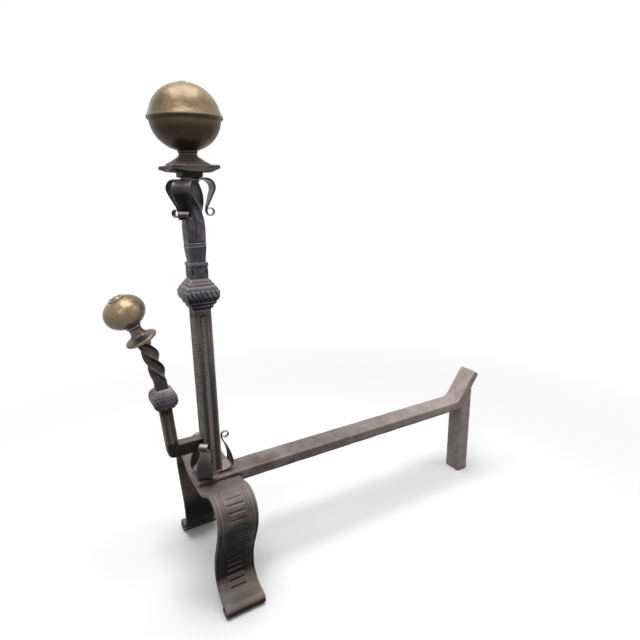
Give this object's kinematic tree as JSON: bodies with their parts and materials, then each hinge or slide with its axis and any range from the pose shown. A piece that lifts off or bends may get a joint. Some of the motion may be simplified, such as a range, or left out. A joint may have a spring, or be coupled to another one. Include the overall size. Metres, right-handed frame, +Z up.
{
  "type": "andiron",
  "caption": "Forged iron andiron: square engraved post on a cupid's-bow arch with scrolled straps, brass ball finial, twisted front guard with brass knob and long billet bar on a rear leg.",
  "frame": {"origin": "middle of the bounding box on the hearth", "axes": "+Z up; +Y back along the billet bar into the fire, -Y towards the room, where the guard stands; X across the arch"},
  "size_m": [0.2424, 0.706, 0.7317],
  "materials": {
    "dark_iron": "engraved wrought iron, dark and burnished",
    "strap_iron": "dark burnished wrought iron",
    "bar_iron": "bare wrought iron, brown-grey from the fire",
    "antique_brass": "dull antique brass"
  },
  "bodies": {
    "root": {"base_arch": "bar_iron", "billet_bar": "bar_iron", "rear_leg": "bar_iron", "foot_washer": "bar_iron", "lower_scroll_right": "strap_iron", "lower_scroll_left": "strap_iron", "lower_scroll_back": "strap_iron", "upper_scroll_right": "strap_iron", "upper_scroll_left": "strap_iron", "upper_scroll_back": "strap_iron", "post": "dark_iron", "post_capital": "dark_iron", "cap_block": "dark_iron", "cap_plate": "dark_iron", "guard_bar": "dark_iron", "guard_collar": "dark_iron", "ball_pedestal": "antique_brass", "ball_lower_half": "antique_brass", "ball_upper_half": "antique_brass", "guard_saucer": "antique_brass", "guard_knob_lower_half": "antique_brass", "guard_knob_upper_half": "antique_brass", "guard_knob_washer": "antique_brass"}
  },
  "joints": []
}
